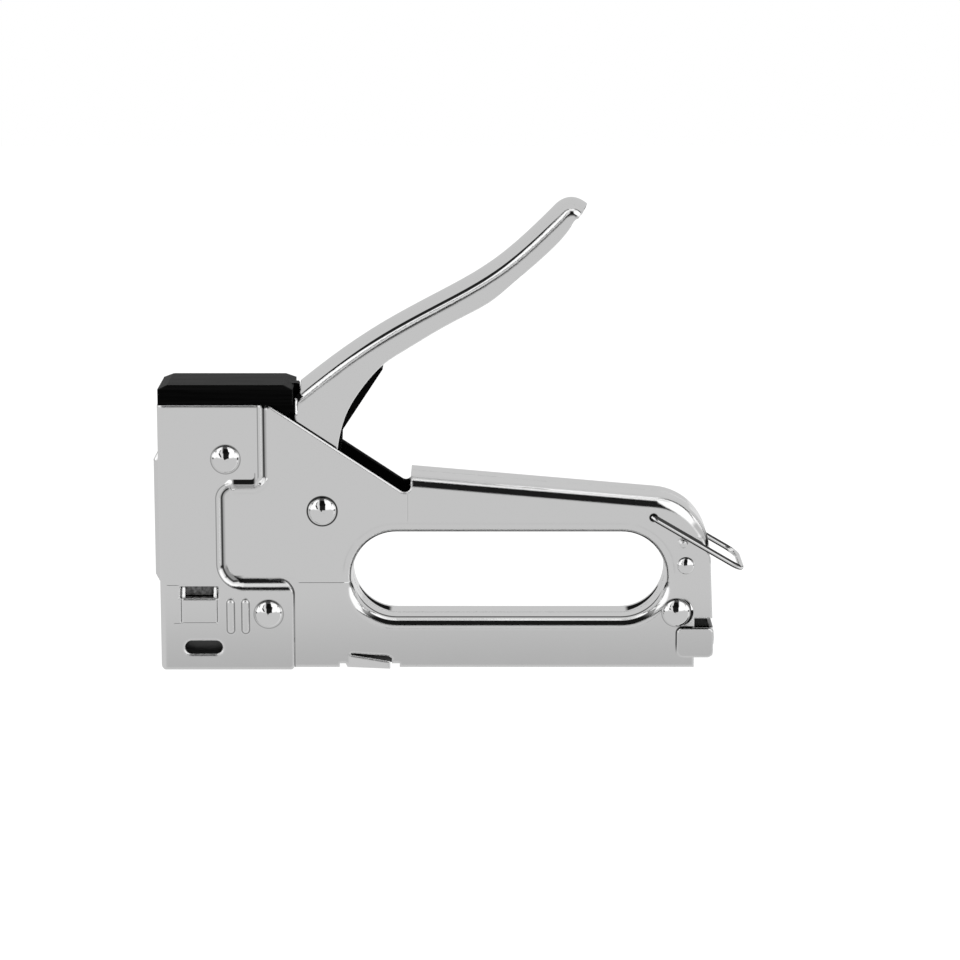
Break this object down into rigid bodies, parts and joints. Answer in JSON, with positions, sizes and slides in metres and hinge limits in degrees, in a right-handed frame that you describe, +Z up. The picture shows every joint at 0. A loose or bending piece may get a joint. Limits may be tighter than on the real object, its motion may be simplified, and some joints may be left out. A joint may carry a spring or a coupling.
{
  "type": "staple tacker",
  "caption": "Hand staple tacker of chrome-plated pressed steel with a squeeze lever, black nose cap, finger hole, rear-loading magazine and wire lever lock.",
  "frame": {"origin": "front foot of the nose, on the middle plane, on the plane the nose rests on", "axes": "+X from the nose to the rear, +Y across, +Z up from the foot to the lever"},
  "size_m": [0.1714, 0.028, 0.1365],
  "materials": {
    "shell_chrome": "bright chrome plate on pressed steel",
    "rivet_chrome": "bright plated dome",
    "wire_chrome": "plated wire",
    "cap_plastic": "black moulded plastic with fine streaks",
    "black_steel": "black oxide",
    "bright_steel": "zinc plated steel",
    "spring_steel": "spring wire",
    "bumper_rubber": "moulded rubber"
  },
  "bodies": {
    "body": {"left_shell": "shell_chrome", "right_shell": "shell_chrome", "front_plate": "bright_steel", "top_cap": "cap_plastic", "spring_seat": "bright_steel", "driver_bumper": "bumper_rubber", "body_rivets": "rivet_chrome", "pivot_rivet": "rivet_chrome", "rear_rivet": "rivet_chrome", "rivet_spacers": "bright_steel", "rear_spacer": "bright_steel", "pivot_bush": "bright_steel", "magazine_channel": "bright_steel", "lever_return_spring": "spring_steel"},
    "squeeze_lever": {"lever": "shell_chrome", "lever_core": "black_steel", "toe_pin": "bright_steel"},
    "driver": {"driver_carriage": "bright_steel", "driver_blade": "bright_steel", "blade_rivets": "bright_steel", "guide_rod": "bright_steel", "main_spring": "spring_steel"},
    "magazine": {"staple_rail": "bright_steel", "end_cap": "shell_chrome", "pusher_rod": "bright_steel", "pusher_spring": "spring_steel"},
    "staple_pusher": {"pusher": "bright_steel"},
    "bail": {"wire_bail": "wire_chrome"}
  },
  "joints": [
    {"name": "lever_hinge", "type": "hinge", "parent": "body", "child": "squeeze_lever", "pos_m": [0.0471, 0, 0.0467], "axis": [0, 1, 0], "range_deg": [0, 42], "stiffness_Nm_per_rad": 0.5, "springref_deg": -34.38, "deforming": ["lever_return_spring"]},
    {"name": "driver_slide", "type": "slide", "parent": "body", "child": "driver", "axis": [0, 0, 1], "range_m": [0, 0.017], "deforming": ["main_spring"]},
    {"name": "magazine_slide", "type": "slide", "parent": "body", "child": "magazine", "axis": [1, 0, 0], "range_m": [0, 0.12]},
    {"name": "pusher_slide", "type": "slide", "parent": "magazine", "child": "staple_pusher", "axis": [1, 0, 0], "range_m": [0, 0.095], "stiffness_N_per_m": 20, "springref_m": -0.05, "deforming": ["pusher_spring"]},
    {"name": "bail_hinge", "type": "hinge", "parent": "body", "child": "bail", "pos_m": [0.1428, 0, 0.0448], "axis": [0, -1, 0], "range_deg": [0, 100]}
  ],
  "couplings": [
    {"joint": "driver_slide", "follows": "lever_hinge", "m_per_rad": 0.02315}
  ]
}
